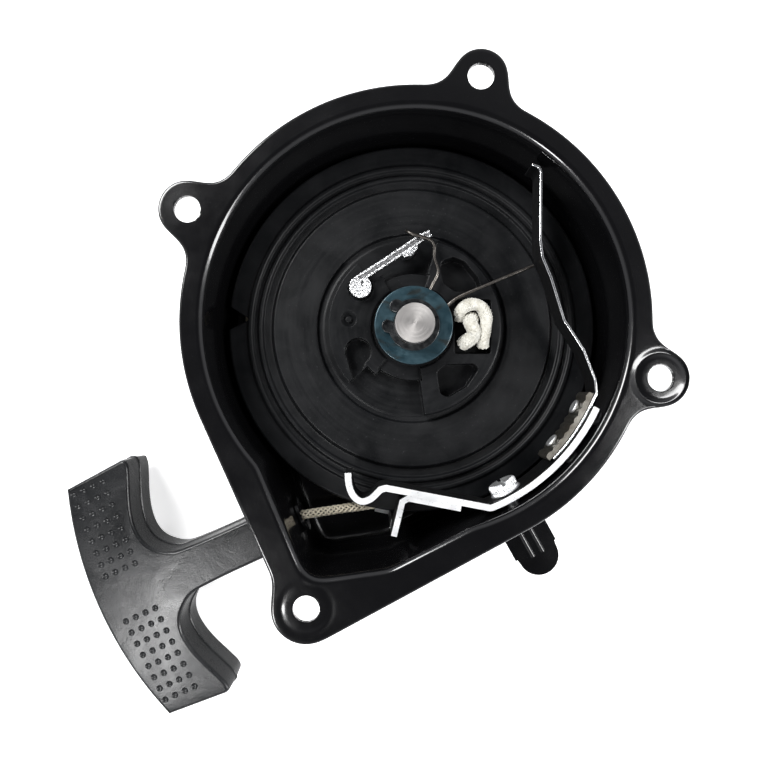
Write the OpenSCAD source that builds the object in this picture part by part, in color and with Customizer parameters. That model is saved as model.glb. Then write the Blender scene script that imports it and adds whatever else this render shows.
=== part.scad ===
// Recoil starter for a small engine, lying on its closed back with the open side up.
// The origin is on the starter shaft's axis, in the plane of the mounting flange.
// +Z points out of the open side, towards the engine.

/* [Housing] */
// Inner radius of the bowl
bowl_r = 64; // [63.8:0.1:64.5]
// Depth from the mounting face to the back
bowl_depth = 44; // [44:0.5:46]
// Thickness of the pressed sheet
sheet_t = 1.6; // [1.4:0.1:1.6]
// Outer radius of the mounting flange
flange_r = 71.3; // [70:0.1:74]
// Radius of the four mounting holes
ear_hole_r = 4; // [3:0.1:4.3]

/* [Reel] */
// Outer radius of the reel's upper flange
reel_r = 61.7; // [61:0.1:62]
// Radius of the rope groove's floor
groove_r = 50.5; // [50:0.1:50.6]
// Radius of the raised hub
hub_r = 29.2; // [28.8:0.1:29.5]

/* [Shaft] */
// Radius of the centre shaft
shaft_r = 6.2; // [6:0.1:6.4]
// Radial running clearance on shafts and pins
run_gap = 0.05; // [0.02:0.01:0.09]

/* [Rope] */
// Diameter of the rope
rope_d = 3.5; // [3:0.1:3.6]

/* [Handle] */
// Width of the T bar from tip to tip
handle_w = 86; // [80:1:90]
// Thickness of the handle
handle_t = 20; // [18:0.5:21]

/* [Hidden] */
$fn = 64;
tiny = 0.01;

// Levels along Z, from the mounting face down
back_z = -bowl_depth;
floor_z = back_z + sheet_t;
rope_z = -30;
reel_top_z = -24;
disc_z = -21;
hub_z = -16;
shaft_top_z = -4.5;
tail_r = 4.9;
clip_z = -10.7;
washer_z = -12;
plate_z = floor_z + 2.2;

// Mounting ears: centre, outer radius
EARS = [[[19.5, 73.5], 8.6], [[-68.7, 33.6], 9], [[73.5, -17.1], 9], [[-33, -86.4], 11]];
// Corner posts of the rope pocket, at the inner wall
POCKET = [[-42.1, -39.8], [-28.7, -71.3], [-9.9, -68.7], [16.8, -55]];
pocket_r = 6;
// Rounding between the bowl's wall and floor, at the inner face
corner_r = 4.4;

// Rope exit and handle axis
pull_a = 204.5;
handle_o = [-38.8, -64.1];
rope_tangent = [9.1, -56.8];
rope_exit = [-38.4, -63.9];

// Pawl pivot and strap angles
pivot = [-17, 12.6];
pivot_r = 3.6;
mirror_a = 176;
screw_a = -61;
screw_z = -10.5;
screw_hole_r = 2.1;
strap_r = 61.5;

black = "#1b1c1f";
plastic = "#2a2b2f";
zinc = "#d4d8da";
steel = "#a9adb2";
rope_c = "#d9cfb4";

function polar(r, a) = [r * cos(a), r * sin(a)];

// A ring sector between two angles, as a flat shape
module sector(a0, a1, r0, r1) {
    mid = (a0 + a1) / 2;
    far = 3 * r1;
    intersection() {
        difference() {
            circle(r = r1);
            circle(r = r0);
        }
        polygon([[0, 0], polar(far, a0), polar(far, mid), polar(far, a1)]);
    }
}

function unit(v) = v / norm(v);
function heading(p, i) = unit(p[min(i + 1, len(p) - 1)] - p[max(i - 1, 0)]);
// One ring of points round a wire's centre line
function ring(c, t, r, n) = let (s = unit(cross(t, [0, 0, 1])), u = cross(s, t))
    [for (k = [0 : n - 1]) c + r * (cos(360 * k / n) * s + sin(360 * k / n) * u)];

// A wire or rope swept along its centre line
module wire(p, r, n = 10) {
    last = len(p) - 1;
    rings = [for (i = [0 : last]) each ring(p[i], heading(p, i), r, n)];
    sides = [for (i = [0 : last - 1], k = [0 : n - 1])
        let (a = i * n + k, b = i * n + (k + 1) % n) [a, b, b + n, a + n]];
    start = [for (k = [n - 1 : -1 : 0]) k];
    end = [for (k = [0 : n - 1]) last * n + k];
    polyhedron(rings, concat([start], sides, [end]));
}

function left_of(v) = [-v[1], v[0]];
// Mitred offset direction at point i of a line
function mitre(p, i) = let (
    a = unit(p[max(i, 1)] - p[max(i, 1) - 1]),
    b = unit(p[min(i + 1, len(p) - 1)] - p[min(i, len(p) - 2)]),
    m = unit(left_of(a) + left_of(b))) m / (m * left_of(a));

// A bent strip seen on edge, as a flat shape
module strip(p, t) {
    last = len(p) - 1;
    one_side = [for (i = [0 : last]) p[i] + t / 2 * mitre(p, i)];
    other_side = [for (i = [last : -1 : 0]) p[i] - t / 2 * mitre(p, i)];
    polygon(concat(one_side, other_side));
}

// Places children on the outer end of a radius, with +Z pointing outwards
module radial(a, r, z) {
    rotate(a) translate([r, 0, z]) rotate([0, 90, 0]) children();
}

// ---- Housing ----

module flange_outline() {
    low = polar(1, -61.6);
    left = polar(1, 204.3);
    c = EARS[3][0];
    cr = EARS[3][1];
    offset(r = -9) offset(r = 9) union() {
        circle(r = flange_r, $fn = 180);
        polygon([[0, 0], flange_r * left, c + 5.7 * left, c, c + cr * low, flange_r * low]);
        for (e = EARS) translate(e[0]) circle(r = e[1]);
    }
}

// The solid bowl with its rope pocket: wall grown outwards by g, down to z0
module bowl_solid(g, z0, z1) {
    r = bowl_r + g;
    c = corner_r + g;
    translate([0, 0, z0 + c]) cylinder(r = r, h = z1 - z0 - c);
    rotate_extrude() {
        translate([0, z0]) square([r - c, c + tiny]);
        intersection() {
            translate([r - c, z0 + c]) circle(r = c);
            translate([r - c - tiny, z0]) square([c + 1, c + tiny]);
        }
    }
    hull() for (p = POCKET) translate(p) {
        pr = pocket_r + g;
        translate([0, 0, z0 + pr]) cylinder(r = pr, h = z1 - z0 - pr, $fn = 32);
        translate([0, 0, z0 + pr]) sphere(r = pr, $fn = 32);
    }
}

module housing() color(black) {
    pan_r = 16;
    difference() {
        union() {
            bowl_solid(sheet_t, back_z, -tiny);
            translate([0, 0, -sheet_t]) linear_extrude(sheet_t) flange_outline();
        }
        difference() {
            bowl_solid(0, floor_z, 1);
            translate([0, 0, floor_z - 1]) cylinder(r = pan_r + sheet_t, h = 1 + plate_z - floor_z);
        }
        translate([0, 0, back_z - 1]) cylinder(r = pan_r, h = 1 + plate_z - floor_z);
        translate([0, 0, back_z - 1]) cylinder(r = tail_r, h = 10);
        for (e = EARS) translate([e[0][0], e[0][1], -5]) cylinder(r = ear_hole_r, h = 10);
        translate([rope_exit[0], rope_exit[1], rope_z]) rotate([0, 90, pull_a])
            translate([0, 0, -4]) cylinder(r = 4.4, h = 10);
        radial(screw_a, bowl_r - 1, screw_z) cylinder(r = screw_hole_r, h = 4);
    }
}

// Cable guide tongue, screwed to the outside of the bowl
module side_lug() color(black) {
    r0 = bowl_r + sheet_t;
    rotate(screw_a) difference() {
        union() {
            intersection() {
                translate([0, 0, -19.6]) difference() {
                    cylinder(r = r0 + sheet_t, h = 17.6);
                    translate([0, 0, -1]) cylinder(r = r0, h = 20);
                }
                translate([50, -9, -20]) cube([30, 18, 20]);
            }
            translate([0, 0, -19.6]) linear_extrude(sheet_t) difference() {
                union() {
                    translate([r0 - 3, -7.5]) square([21, 15]);
                    translate([85.4, 0]) circle(r = 6.6);
                    polygon([[80, -7.5], [85.4, -6.6], [85.4, 6.6], [80, 7.5]]);
                }
                circle(r = r0);
            }
            for (s = [-1, 1]) translate([73, 1.8 * s, -18.2]) rotate([0, 90, 0])
                cylinder(r = 0.8, h = 12);
        }
        translate([bowl_r, 0, screw_z]) rotate([0, 90, 0]) cylinder(r = screw_hole_r, h = 5);
    }
}

// ---- Shaft and what sits on it ----

module center_shaft() color(steel) difference() {
    union() {
        translate([0, 0, plate_z - 2.4]) cylinder(r = tail_r, h = 2.4);
        translate([0, 0, plate_z]) cylinder(r = 10, h = 0.7);
        translate([0, 0, plate_z]) cylinder(r = shaft_r, h = shaft_top_z - plate_z - 0.5);
        translate([0, 0, shaft_top_z - 0.5]) cylinder(r1 = shaft_r, r2 = shaft_r - 0.5, h = 0.5);
    }
    translate([0, 0, clip_z - 0.05]) difference() {
        cylinder(r = shaft_r + 1, h = 1.1);
        translate([0, 0, -1]) cylinder(r = 5, h = 4);
    }
    translate([0, 0, shaft_top_z - 1]) cylinder(r1 = 0, r2 = 1, h = 1.01);
}

module shaft_washer() color(steel) translate([0, 0, plate_z - sheet_t - 0.8]) difference() {
    cylinder(r = 11, h = 0.8);
    translate([0, 0, -1]) cylinder(r = tail_r, h = 3);
}

module shaft_rivet() color(steel) {
    top = plate_z - sheet_t - 0.8;
    translate([0, 0, back_z + 0.1]) cylinder(r1 = 6.5, r2 = 7.5, h = top - back_z - 0.1);
}

module friction_collar() color(steel) translate([0, 0, -16.8]) difference() {
    union() {
        cylinder(r = 8.4, h = 4.8);
        cylinder(r = 11.5, h = 0.6);
    }
    translate([0, 0, -1]) cylinder(r = shaft_r, h = 8);
}

module friction_washer() color("#4d6d79") translate([0, 0, washer_z]) difference() {
    cylinder(r = 13, h = 1.2);
    translate([0, 0, -1]) cylinder(r = shaft_r, h = 4);
}

// Retaining clip in the shaft's groove, with its mouth between two lobes
mouth_a = 158;
module e_clip() color("#202225") translate([0, 0, clip_z]) linear_extrude(1) difference() {
    union() {
        circle(r = 8.2);
        for (s = [-1, 1]) rotate(mouth_a + 25 * s) translate([8, 0]) circle(r = 2.2);
    }
    circle(r = 5);
    rotate(mouth_a) translate([3, -1.5]) square([11, 3]);
    for (a = [80, 240]) rotate(a) translate([5.2, 0]) circle(r = 1.3);
}

// ---- Recoil spring ----

spring_r0 = 18.9;
spring_pitch = 3.1;
spring_turns = 8;

module spring_anchor() color(steel) {
    translate([0, -46, floor_z]) cylinder(r = 1.4, h = 5.6);
}

module spring_shield() color(steel) {
    translate([0, 0, -36.2]) difference() {
        cylinder(r = 49.6, h = 0.6);
        translate([0, 0, -1]) cylinder(r = 18.2, h = 3);
    }
    translate([0, 0, floor_z]) difference() {
        cylinder(r = 49.6, h = -36.2 - floor_z);
        translate([0, 0, -1]) cylinder(r = 48.8, h = 10);
    }
}

module recoil_spring() color("#6b7079") {
    n = 24 * spring_turns;
    t = 0.35;
    outer = [for (i = [0 : n]) polar(spring_r0 + t + spring_pitch * i / 24, 15 * i - 90)];
    inner = [for (i = [n : -1 : 0]) polar(spring_r0 - t + spring_pitch * i / 24, 15 * i - 90)];
    translate([0, 0, floor_z + 0.3]) linear_extrude(5.6) polygon(concat(outer, inner));
}

// Hook on the reel that drives the spring's inner end
module spring_hook() color(steel) {
    translate([-0.8, -18.4, -39.4]) cube([1.6, 3, 2.5]);
}

// ---- Reel ----

// Section of the reel through its axis
module reel_section() polygon([
    [8.2, -39.2], [17.5, -39.2], [17.5, -35], [20, -35], [20, -25], [46.5, -25], [46.5, -35],
    [60.4, -35], [61, -34.5], [60.6, -33.4], [groove_r + 1, -33.2], [groove_r, -32.2],
    [groove_r, -27.4], [groove_r + 1, -26.4], [61, -26], [reel_r, -25.4], [reel_r, -24.5],
    [61.2, reel_top_z], [55.6, reel_top_z], [54.8, -23.2], [53.8, -23.2], [53.1, reel_top_z],
    [51.9, reel_top_z], [51.2, -22.3], [50.2, -22.3], [49.5, -23.3], [47, -23.3], [46, disc_z],
    [31.6, disc_z], [31, -22.2], [hub_r, -22.2], [hub_r, hub_z], [13.6, hub_z], [13.2, -17.2],
    [8.2, -17.2]]);

pocket_z = -22;
// Outer reach of the hub's pockets, inside the trench round the hub
trench_r = 30.5;

// The pockets to one side of the hub's mirror line
module hub_side() {
    sector(74, 120, 17.3, trench_r);
    sector(119, 131, 19.5, trench_r);
}

module hub_cuts() {
    hub_side();
    rotate(mirror_a) mirror([0, 1]) rotate(-mirror_a) hub_side();
    sector(130, 222, 27, trench_r);
    polygon([[9.5, 21.5], [13.2, 22.8], [17, 21.2], [21.3, 15.8], [22.1, 13], [19.7, 11.6],
        [13.7, 11.4], [9.9, 14.2], [8.9, 19]]);
    polygon([[7.8, -14.6], [11, -12.2], [19.7, -11.9], [21.6, -13.5], [17.6, -19.5], [11.6, -23],
        [8.9, -21.9]]);
    translate([13.6, -8.8]) square([11.8, 17.7]);
}

module reel() color(plastic) difference() {
    rotate_extrude($fn = 128) reel_section();
    // Pockets and windows round the hub
    translate([0, 0, pocket_z]) linear_extrude(10) hub_cuts();
    // Rope notch in the upper flange
    translate([0, 0, -27]) linear_extrude(5) rotate(176.5) polygon([[54.5, 0], [63, -4.9], [63, 4.9]]);
    // Pawl pivot hole, with a wider mouth
    translate([pivot[0], pivot[1], -24.5]) cylinder(r = pivot_r + run_gap, h = 20);
    translate([pivot[0], pivot[1], hub_z - 1.2]) cylinder(r = 4.2, h = 5);
    // The unused twin of the pivot hole, with its tail slot
    translate([-17.8, -7.9, -20.5]) cylinder(r = 4.3, h = 20);
    translate([-17.8, -7.9, -20.5]) rotate(-91.7) translate([0, -0.8]) cube([13.5, 1.6, 20]);
    // Slot for the recoil spring's inner hook
    translate([-1.2, -19, -39.6]) cube([2.4, 4.5, 3.8]);
    // Rope passage from the groove to the knot window
    translate([20, 0, rope_z]) rotate([0, 90, 0]) cylinder(r = 2.2, h = 32);
    translate([20.5, 0, rope_z]) cylinder(r = 2.2, h = 12);
}

module reel_bush() color("#a9844f") translate([0, 0, -39.2]) difference() {
    cylinder(r = 8.2, h = 22);
    translate([0, 0, -1]) cylinder(r = shaft_r + run_gap, h = 24);
}

// The rope's turns in the groove, as one ring with a scalloped outside
module rope_winding() color(rope_c) rotate_extrude($fn = 96) translate([groove_r, -29.8]) {
    translate([0, -2.3]) square([2.6, 4.6]);
    for (s = [-1, 1]) translate([2.6, 1.1 * s]) circle(r = rope_d / 2 - 0.55);
}

// Stopper knot of the rope in its window
module rope_knot() color("#efe8d3") translate([19.8, 0, -16.6]) {
    translate([0, 3.8, 0]) sphere(r = 4.6);
    translate([0.4, -3.6, 0]) sphere(r = 4.6);
    translate([0, 0, -3]) cylinder(r = 4.2, h = 5);
}

// ---- Pawl and its drag spring ----

module pawl() color(zinc) {
    tip = [6.3, 30.5];
    d = tip - pivot;
    a = atan2(d[1], d[0]);
    translate([pivot[0], pivot[1], -22]) cylinder(r = pivot_r, h = 8.8);
    translate([pivot[0], pivot[1], hub_z + 0.4]) rotate(a) {
        linear_extrude(2.6) union() {
            rotate(-4.4) translate([-1.2, 1.1]) square([norm(d) - 1.4, 2.4]);
            circle(r = 3.2);
            translate([norm(d) - 2.9, 0.4]) circle(r = 1.9);
        }
        translate([17, -0.8, -4.6]) cube([7, 2.2, 5]);
    }
}

// One wire: hook over the pawl, inner leg, two turns round the collar, outer leg
module drag_spring() color("#4b4741") {
    coil_r = 9.4;
    hook = [[-2.2, 30.9, -14.6], [-1.9, 30.2, -12.9], [-0.7, 29.3, -12.1], [2.2, 28.4, -12.1],
        [5.4, 27.2, -12.1]];
    inner = [[6.6, 25.6, -12.4], [6.7, 22, -12.8], [7.9, 17.3, -12.9], [6.2, 13.4, -12.9],
        [4.6, 10.4, -12.9]];
    coil = [for (i = [0 : 25])
        let (a = 90 + 24.6 * i)
            [coil_r * cos(a), coil_r * sin(a), -12.9 - 2 * i / 25]];
    outer = [[11, 4.2, -14.9], [12.6, 9.1, -14.7], [24.3, 14.2, -13], [38.4, 19.2, -12.6]];
    wire(concat(hook, inner, coil, outer), 0.55);
}

// ---- Strap bracket and leaf spring ----

strap_z = -17;
strap_h = 13;
RIVETS = [-40, -27];

// Straight stretch of the strap, and its direction
strap_p = [-9, -50.7];
strap_q = polar(strap_r, -67.7);
strap_dir = (strap_q - strap_p) / norm(strap_q - strap_p);
strap_out = [strap_dir[1], -strap_dir[0]];

module guide_bracket() color(zinc) difference() {
    translate([0, 0, strap_z]) linear_extrude(strap_h) {
        strip([[-20.6, -46.1], [-20.3, -49.6], [-19, -53], [-16.6, -54.8], [-13.9, -54.2],
            [-10.6, -51.2], strap_p, strap_q], 2);
        sector(-68, -25.1, strap_r - 1, strap_r + 1);
    }
    radial(screw_a, strap_r - 4, screw_z) cylinder(r = screw_hole_r, h = 8);
    for (a = RIVETS) radial(a, strap_r - 4, screw_z) cylinder(r = 1.3, h = 8);
}

// L-shaped foot welded to the strap's outside, standing on the housing floor
module bracket_foot() color(zinc) {
    translate([0, 0, strap_z]) linear_extrude(strap_h - 0.4)
        strip([strap_p + 23.9 * strap_dir + 1.9 * strap_out,
            strap_p + 7.4 * strap_dir + 1.9 * strap_out, [-3.9, -55], [-6.5, -65.6]], 1.8);
    translate([-6.4, -65, floor_z]) rotate(-102.5) {
        translate([-2, -0.9]) cube([2.8, 1.8, strap_z - floor_z + tiny]);
        translate([-2, -6]) cube([2.8, 8, 1.6]);
    }
}

// Slotted screw with a knurled head, radial through strap, wall and lug
module bracket_screw() color(zinc) difference() {
    union() {
        radial(screw_a, strap_r - 4.9, screw_z) cylinder(r = 4.5, h = 3);
        radial(screw_a, strap_r - 1.9, screw_z) cylinder(r = 5, h = 0.6);
        radial(screw_a, strap_r - 1.5, screw_z) cylinder(r = 2, h = 11.3);
        for (i = [0 : 15]) radial(screw_a, strap_r - 4.9, screw_z)
            rotate(22.5 * i) translate([4.4, 0, 0]) cylinder(r = 0.35, h = 3);
    }
    rotate(screw_a) translate([strap_r - 5.3, -0.6, -16]) cube([1.4, 1.2, 12]);
}

module bracket_nut() color(zinc) radial(screw_a, bowl_r + 2 * sheet_t, screw_z) difference() {
    cylinder(r = 4.04, h = 3.2, $fn = 6);
    translate([0, 0, -1]) cylinder(r = 2, h = 6);
}

// Clamp plate with upright ribs on its inner face
module leaf_clamp() color("#b9bcbd") difference() {
    ribs = [for (i = [0 : 18]) polar(i % 2 == 0 ? 57.9 : 57.4, -45.6 + 24.1 * i / 18)];
    back = [for (i = [18 : -1 : 0]) polar(59.4, -45.6 + 24.1 * i / 18)];
    translate([0, 0, -15.5]) linear_extrude(10) polygon(concat(ribs, back));
    for (a = RIVETS) radial(a, 55, screw_z) cylinder(r = 1.3, h = 8);
}

module clamp_rivets() color(zinc) for (a = RIVETS) radial(a, 0, screw_z) {
    translate([0, 0, 56.4]) cylinder(r = 2.2, h = 0.9);
    translate([0, 0, 57]) cylinder(r = 1.3, h = 6);
    translate([0, 0, strap_r + 1]) cylinder(r = 2.2, h = 0.8);
}

LEAF = [[56, -21.9], [55.6, -17.6], [52, -8.3], [46, 0.9], [42, 13.9], [39.3, 20.4], [38.7, 25.5],
    [38.9, 46.8], [38.2, 48.2], [36, 48.9]];

// Clamped tail of the leaf spring
module leaf_root() color(zinc) difference() {
    translate([0, 0, -14.5]) linear_extrude(9.5) sector(-44.5, -22.2, 59.5, 60.3);
    for (a = RIVETS) radial(a, 55, screw_z) cylinder(r = 1.3, h = 8);
}

// Free blade of the leaf spring
module leaf_spring() color(zinc) translate([0, 0, -14.5]) linear_extrude(9.5) strip(LEAF, 0.8);

// ---- Rope ----

module rope_eyelet() color("#8f9499") translate([rope_exit[0], rope_exit[1], rope_z])
    rotate([0, 90, pull_a]) rotate_extrude() difference() {
        polygon([[2.4, -1.5], [6, -1.5], [6, -0.4], [4.3, 0], [4.3, 1.6], [6.4, 2], [6.4, 3],
            [2.4, 3]]);
        translate([2.2, -1.6]) circle(r = 0.7);
    }

// Rope from the reel's groove to the eyelet
module rope_run() color(rope_c) {
    a = rope_tangent;
    b = rope_exit;
    c = b + 2.6 * polar(1, pull_a);
    line = [a, b + [3, 0.5], b, c];
    wire([for (p = line) [p[0], p[1], rope_z]], rope_d / 2);
}

// Places children along the handle's axis, with +X pointing away from the housing
module on_pull() translate([handle_o[0], handle_o[1], rope_z]) rotate(pull_a) children();

// Rope's end inside the handle
module rope_lead() color(rope_c) on_pull() translate([3, 0, 0]) rotate([0, 90, 0])
    cylinder(d = rope_d, h = 58.2);

// ---- Handle ----

handle_tip = handle_w / 2;
// Half outline along the pull axis, from the stem's end round the grip to past the outer edge
HANDLE_HALF = [[3.4, 6.4], [4.4, 7.4], [34, 7.6], [41, 8.3], [45, 10.8], [47.6, 14], [48.6, 18],
    [48.2, 23], [46.6, 28.6], [44, handle_tip - 8], [42.3, handle_tip - 3.2], [42.6, handle_tip - 0.8],
    [44.4, handle_tip], [80, handle_tip - 2.4]];
handle_end = 72;
handle_arc_r = 128.3;

module handle_outline() intersection() {
    other = [for (i = [len(HANDLE_HALF) - 1 : -1 : 0]) [HANDLE_HALF[i][0], -HANDLE_HALF[i][1]]];
    polygon(concat(HANDLE_HALF, other));
    translate([handle_end - handle_arc_r, 0]) circle(r = handle_arc_r, $fn = 200);
}

module handle() color(plastic) on_pull() difference() {
    translate([0, 0, -handle_t / 2]) linear_extrude(handle_t) handle_outline();
    translate([-1, 0, 0]) rotate([0, 90, 0]) cylinder(r = rope_d / 2 + 0.05, h = 80);
    translate([60, 0, 0]) rotate([0, 90, 0]) cylinder(r = 5.2, h = 20);
}

module handle_washer() color(zinc) on_pull() translate([60, 0, 0]) rotate([0, 90, 0]) difference() {
    cylinder(r = 5, h = 1.2);
    translate([0, 0, -1]) cylinder(r = rope_d / 2, h = 4);
}

module handle_knot() color(rope_c) on_pull() difference() {
    translate([64.6, 0, 0]) sphere(r = 4.4);
    translate([50, -10, -10]) cube([11.2, 20, 20]);
}

housing();
side_lug();
center_shaft();
shaft_washer();
shaft_rivet();
friction_collar();
friction_washer();
e_clip();
spring_shield();
spring_anchor();
recoil_spring();
spring_hook();
reel();
reel_bush();
rope_winding();
rope_knot();
pawl();
drag_spring();
guide_bracket();
bracket_foot();
bracket_screw();
bracket_nut();
leaf_clamp();
clamp_rivets();
leaf_root();
leaf_spring();
rope_eyelet();
rope_run();
rope_lead();
handle();
handle_washer();
handle_knot();
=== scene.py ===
"""Looks of the recoil starter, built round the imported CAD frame.

Lengths in this file are millimetres until a mesh is made; make_mesh turns them into metres.
"""

import math

import bmesh
import bpy
import numpy as np
from mathutils import Matrix, Vector


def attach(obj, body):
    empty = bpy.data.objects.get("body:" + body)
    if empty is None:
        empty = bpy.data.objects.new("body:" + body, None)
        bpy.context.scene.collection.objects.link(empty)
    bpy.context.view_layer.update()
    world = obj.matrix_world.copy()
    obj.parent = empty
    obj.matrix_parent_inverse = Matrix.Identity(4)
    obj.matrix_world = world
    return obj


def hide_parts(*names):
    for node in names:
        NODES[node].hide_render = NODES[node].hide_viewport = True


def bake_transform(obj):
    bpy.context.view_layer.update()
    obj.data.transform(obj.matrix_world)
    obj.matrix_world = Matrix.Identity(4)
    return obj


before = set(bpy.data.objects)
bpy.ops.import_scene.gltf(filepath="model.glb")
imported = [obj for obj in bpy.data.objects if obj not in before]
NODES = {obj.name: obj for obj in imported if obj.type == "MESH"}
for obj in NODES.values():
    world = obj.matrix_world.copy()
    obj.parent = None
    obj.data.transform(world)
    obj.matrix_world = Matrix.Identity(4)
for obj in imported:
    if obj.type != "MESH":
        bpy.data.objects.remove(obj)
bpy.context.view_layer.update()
MM = 0.001
SAME_PLACE = 1e-6  # Metres
scene = bpy.context.scene

# Places shared with the CAD, in millimetres
ROPE_Z = -30
ROPE_R = 1.75
PULL = math.radians(204.5)
PULL_DIR = np.array([math.cos(PULL), math.sin(PULL), 0])
HANDLE_ORIGIN = np.array([-38.8, -64.1, ROPE_Z])
ROPE_EXIT = np.array([-38.4, -63.9, ROPE_Z])
ROPE_TANGENT = np.array([9.1, -56.8, ROPE_Z])
PIVOT = (-17, 12.6)
TWIN = (-17.8, -7.9)
SCREW_ANGLE = -61
SCREW_Z = -10.5
FLOOR_Z = -42.4
BACK_Z = -44
HUB_Z = -16
POCKET_Z = -22
PAWL_TIP = (6.3, 30.5)
ONTO_X = Matrix.Rotation(math.pi / 2, 4, "Y")
HANDLE_FRAME = Matrix.Translation(HANDLE_ORIGIN) @ Matrix.Rotation(PULL, 4, "Z")


# ---- Camera ----

def make_camera():
    data = bpy.data.cameras.new("camera")
    data.sensor_width = 36
    data.lens = 29.7
    data.shift_x = 0.013
    data.shift_y = 0.0156
    data.clip_start = 0.01
    camera = bpy.data.objects.new("camera", data)
    camera.location = (-0.0126, -0.0225, 0.190)
    scene.collection.objects.link(camera)
    scene.camera = camera


# ---- Plane geometry ----

def at(radius, degrees, z=None):
    """A point at a radius and angle, flat or at a height."""
    a = math.radians(degrees)
    point = [radius * math.cos(a), radius * math.sin(a)]
    return point if z is None else point + [z]


def arc(centre, radius, start, end, step=6):
    """Points along an arc, angles in degrees."""
    x, y = centre
    count = max(2, int(abs(end - start) / step) + 1)
    return [[x + radius * math.cos(a), y + radius * math.sin(a)]
            for a in map(math.radians, np.linspace(start, end, count))]


def circle(centre, radius, step=6):
    """Points round a whole circle, step degrees apart."""
    return arc(centre, radius, 0, 360 - step, step)


def rounded(corners, radius, steps=5, closed=True):
    """An outline, or an open path, with its corners rounded."""
    points = [np.array(c, float) for c in corners]
    result = []
    for i, p in enumerate(points):
        if not closed and i in (0, len(points) - 1):
            result.append(p)
            continue
        a, b = points[i - 1] - p, points[(i + 1) % len(points)] - p
        la, lb = np.linalg.norm(a), np.linalg.norm(b)
        a, b = a / la, b / lb
        half = math.acos(np.clip(a @ b, -1, 1)) / 2
        reach = min(radius / math.tan(half), 0.48 * la, 0.48 * lb)
        p0, p1 = p + a * reach, p + b * reach
        for t in np.linspace(0, 1, steps):
            result.append((1 - t) ** 2 * p0 + 2 * t * (1 - t) * p + t ** 2 * p1)
    return [list(p) for p in result]


def spline(points, step=0.6):
    """A smooth open curve through points, in two or three dimensions."""
    p = [np.array(q, float) for q in points]
    p = [2 * p[0] - p[1]] + p + [2 * p[-1] - p[-2]]
    result = []
    for i in range(1, len(p) - 2):
        count = max(2, int(np.linalg.norm(p[i + 1] - p[i]) / step))
        knots = [0]
        for k in range(3):
            knots.append(knots[-1] + max(np.linalg.norm(p[i + k] - p[i + k - 1]), 1e-6) ** 0.5)
        t0, t1, t2, t3 = knots
        for t in np.linspace(t1, t2, count, endpoint=False):
            a1 = ((t1 - t) * p[i - 1] + (t - t0) * p[i]) / (t1 - t0)
            a2 = ((t2 - t) * p[i] + (t - t1) * p[i + 1]) / (t2 - t1)
            a3 = ((t3 - t) * p[i + 1] + (t - t2) * p[i + 2]) / (t3 - t2)
            b1 = ((t2 - t) * a1 + (t - t0) * a2) / (t2 - t0)
            b2 = ((t3 - t) * a2 + (t - t1) * a3) / (t3 - t1)
            result.append(((t2 - t) * b1 + (t - t1) * b2) / (t2 - t1))
    result.append(p[-2])
    return np.array(result)


def normals_of(points, closed=True):
    """Unit normals to the right of the direction of travel, with the mitre length at each point."""
    p = np.array(points, float)
    ahead = np.roll(p, -1, 0) - p
    behind = p - np.roll(p, 1, 0)
    if not closed:
        ahead[-1] = behind[-1]
        behind[0] = ahead[0]
    ahead /= np.linalg.norm(ahead, axis=1)[:, None]
    behind /= np.linalg.norm(behind, axis=1)[:, None]
    middle = ahead + behind
    middle /= np.linalg.norm(middle, axis=1)[:, None]
    normal = np.stack([middle[:, 1], -middle[:, 0]], 1)
    stretch = 1 / np.clip(np.abs((middle * ahead).sum(1)), 0.4, 1)
    return normal * stretch[:, None]


def strip_outline(path, thickness):
    """Outline of a bent strip seen on edge."""
    p = np.array(path, float)
    half = np.broadcast_to(thickness, len(p))[:, None] / 2
    n = normals_of(p, closed=False) * half
    return [list(q) for q in p - n] + [list(q) for q in (p + n)[::-1]]


def plane_loops(node, z):
    """Outlines of a CAD node's flat upward face at height z, in millimetres, longest first."""
    bm = bmesh.new()
    bm.from_mesh(NODES[node].data)
    bmesh.ops.remove_doubles(bm, verts=bm.verts, dist=SAME_PLACE)
    bm.normal_update()
    flat = {f for f in bm.faces
            if f.normal.z > 0.9 and abs(f.calc_center_median().z - z * MM) < SAME_PLACE}
    links = {}
    for e in bm.edges:
        if sum(f in flat for f in e.link_faces) == 1:
            a, b = e.verts
            links.setdefault(a, []).append(b)
            links.setdefault(b, []).append(a)
    loops = []
    while links:
        start = next(iter(links))
        loop, here = [], start
        while here in links:
            loop.append([here.co.x / MM, here.co.y / MM])
            ways = links.pop(here)
            here = next((v for v in ways if v in links), None)
        loops.append(loop)
    bm.free()
    return sorted(loops, key=lambda loop: -np.ptp(np.array(loop), axis=0).sum())


def radius_by_angle(loop, angles):
    """Distance from the origin to a closed outline, for each angle in radians."""
    a = np.array(loop)
    b = np.roll(a, -1, 0)
    result = np.zeros(len(angles))
    for i, angle in enumerate(angles):
        e = np.array([math.cos(angle), math.sin(angle)])
        d = b - a
        across = e[0] * d[:, 1] - e[1] * d[:, 0]
        across[np.abs(across) < 1e-9] = 1e-9
        r = (a[:, 0] * d[:, 1] - a[:, 1] * d[:, 0]) / across
        s = ((r[:, None] * e - a) * d).sum(1) / (d * d).sum(1)
        hits = r[(s >= -1e-6) & (s <= 1 + 1e-6) & (r > 0)]
        result[i] = hits.max()
    return result


def soften_ring(values, sigma):
    """Gaussian smoothing of values round a ring."""
    reach = int(4 * sigma)
    kernel = np.exp(-0.5 * (np.arange(-reach, reach + 1) / sigma) ** 2)
    kernel /= kernel.sum()
    padded = np.concatenate([values[-reach:], values, values[:reach]])
    return np.convolve(padded, kernel, "valid")


# ---- Meshes ----

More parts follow.
